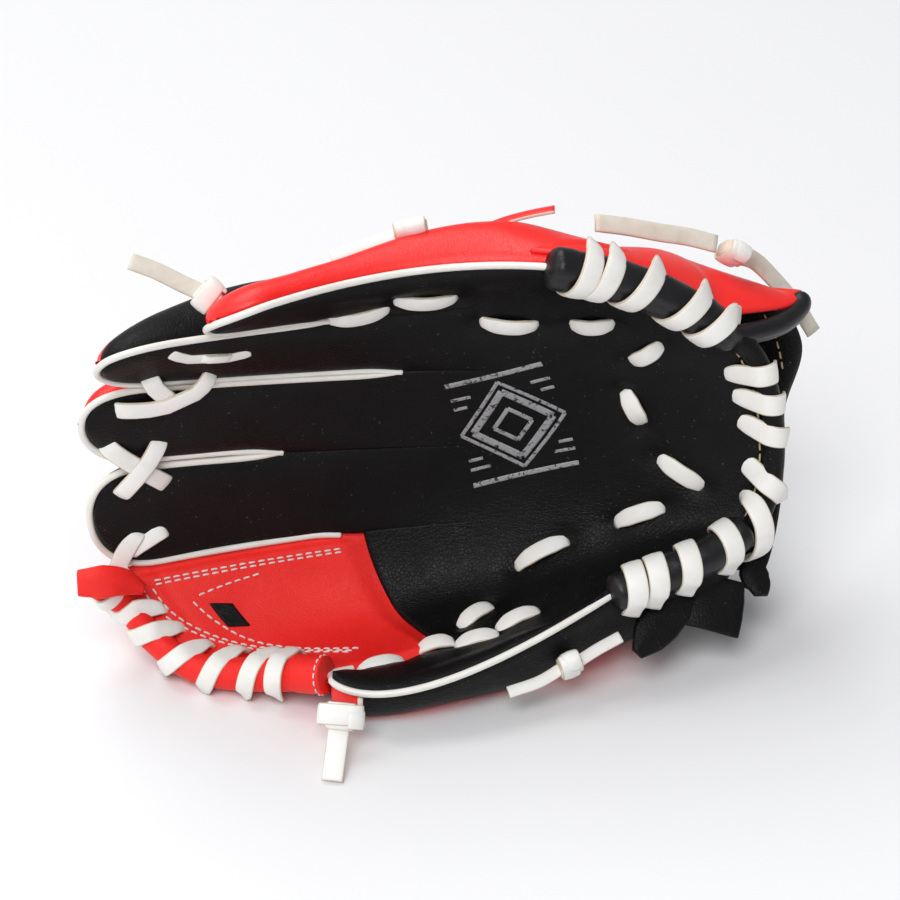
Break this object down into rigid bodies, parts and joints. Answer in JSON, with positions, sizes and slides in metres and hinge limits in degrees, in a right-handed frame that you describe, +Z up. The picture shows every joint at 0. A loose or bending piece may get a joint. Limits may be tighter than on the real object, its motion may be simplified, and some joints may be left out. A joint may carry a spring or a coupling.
{
  "type": "youth baseball glove",
  "caption": "Small left-hand baseball glove lying on its thumb and web, with padded heel, laced fingers, rolled web, thumb that folds to close it and a wrist strap that peels open.",
  "frame": {"origin": "middle of the glove's bounding box at floor level, where its thumb, web and back of the hand rest", "axes": "+X from the fingertips to the wrist, -Y the way the pocket faces, +Z up from the floor"},
  "size_m": [0.2217, 0.1212, 0.1312],
  "materials": {
    "black_leather": "grained black synthetic leather, soft sheen",
    "gloss_leather": "smooth shiny black synthetic leather over padding",
    "red_leather": "smooth bright red synthetic leather",
    "white_lace": "flat off-white lace, slightly glossy with cream edges",
    "welting": "white welting cord in the seams",
    "foam": "grey felt and foam padding",
    "lining_cloth": "black knitted lining",
    "hook_and_loop": "black hook-and-loop tape",
    "silver_print": "worn silver-grey print"
  },
  "bodies": {
    "finger_side": {"palm_leather": "black_leather", "palm_pad": "foam", "palm_lining": "lining_cloth", "pinky_heel_pad": "foam", "index_stiffener": "foam", "middle_stiffener": "foam", "ring_stiffener": "foam", "pinky_stiffener": "foam", "index_back": "black_leather", "middle_back": "red_leather", "ring_back": "black_leather", "pinky_back": "red_leather", "knuckle_panel": "black_leather", "back_lining": "lining_cloth", "wrist_band": "black_leather", "closure_tab": "black_leather", "loop_patch": "hook_and_loop", "pinky_side_panel": "red_leather", "pinky_heel_roll": "gloss_leather", "heel_binding": "black_leather", "pinky_heel_lace": "white_lace", "middle_heel_lace": "white_lace", "index_piping": "welting", "middle_piping": "welting", "ring_piping": "welting", "pinky_piping": "welting", "palm_lace": "white_lace", "pinky_ring_lace": "white_lace", "ring_middle_lace": "white_lace", "middle_index_lace": "white_lace", "index_lace": "white_lace", "palm_mark": "silver_print", "ring_knot": "white_lace", "ring_tail": "white_lace", "pinky_knot": "white_lace", "pinky_loop_tab": "red_leather", "wrist_tail": "white_lace", "wrist_knot": "white_lace", "wrist_lace": "white_lace"},
    "thumb_side": {"thumb_leather": "black_leather", "thumb_heel_pad": "foam", "thumb_stiffener": "foam", "thumb_back": "black_leather", "web_panel": "red_leather", "web_backing": "red_leather", "web_patch": "black_leather", "web_roll": "red_leather", "web_lace": "white_lace", "thumb_heel_roll": "gloss_leather", "thumb_heel_lace": "white_lace", "thumb_piping": "welting", "thumb_lace": "white_lace", "thumb_knot": "white_lace", "thumb_tail": "white_lace", "thumb_back_knot": "white_lace", "heel_tab_pointed": "black_leather", "heel_tab_square": "black_leather", "heel_tab_small": "black_leather"},
    "strap": {"wrist_strap": "black_leather", "hook_patch": "hook_and_loop"}
  },
  "joints": [
    {"name": "thumb_fold", "type": "hinge", "parent": "finger_side", "child": "thumb_side", "pos_m": [-0.00855, 0.0045, 0.034], "axis": [-0.9961, -0.0262, -0.0839], "range_deg": [-4, 25], "stiffness_Nm_per_rad": 1.5},
    {"name": "strap_peel", "type": "hinge", "parent": "finger_side", "child": "strap", "pos_m": [0.05645, 0.055, 0.097], "axis": [0.9856, -0.1481, 0.0817], "range_deg": [0, 70]}
  ]
}
